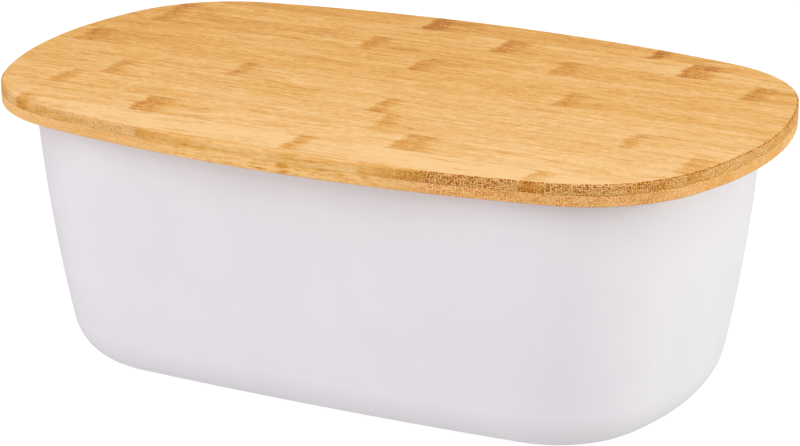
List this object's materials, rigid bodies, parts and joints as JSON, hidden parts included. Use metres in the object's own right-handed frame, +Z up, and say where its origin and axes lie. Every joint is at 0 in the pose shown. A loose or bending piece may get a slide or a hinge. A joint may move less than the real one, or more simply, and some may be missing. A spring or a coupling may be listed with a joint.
{
  "type": "bread bin",
  "caption": "Lidded bread bin: an oblong moulded tub with bowed walls, closed by a loose two-ply bamboo board lid that overhangs the rim all round.",
  "frame": {"origin": "middle of the footprint, on the surface that the bin stands on", "axes": "+Z up; +X along the bin's length; -Y is the front long side"},
  "size_m": [0.35, 0.2152, 0.1294],
  "materials": {
    "melamine": "matt pale lilac-white melamine, evenly coloured",
    "bamboo_top": "oiled honey bamboo strips, fine grain along the lid, semi-matt",
    "bamboo_under": "lightly oiled bamboo strips, fine grain along the lid, matt"
  },
  "bodies": {
    "tub": {"tub": "melamine"},
    "lid": {"top_ply_strip_01": "bamboo_top", "top_ply_strip_02": "bamboo_top", "top_ply_strip_03": "bamboo_top", "top_ply_strip_04": "bamboo_top", "top_ply_strip_05": "bamboo_top", "top_ply_strip_06": "bamboo_top", "top_ply_strip_07": "bamboo_top", "top_ply_strip_08": "bamboo_top", "top_ply_strip_09": "bamboo_top", "top_ply_strip_10": "bamboo_top", "top_ply_strip_11": "bamboo_top", "under_ply_strip_01": "bamboo_under", "under_ply_strip_02": "bamboo_under", "under_ply_strip_03": "bamboo_under", "under_ply_strip_04": "bamboo_under", "under_ply_strip_05": "bamboo_under", "under_ply_strip_06": "bamboo_under", "under_ply_strip_07": "bamboo_under", "under_ply_strip_08": "bamboo_under", "under_ply_strip_09": "bamboo_under", "under_ply_strip_10": "bamboo_under", "under_ply_strip_11": "bamboo_under"}
  },
  "joints": [
    {"name": "lid_lift", "type": "slide", "parent": "tub", "child": "lid", "axis": [0, 0, 1], "range_m": [0, 0.15]}
  ]
}
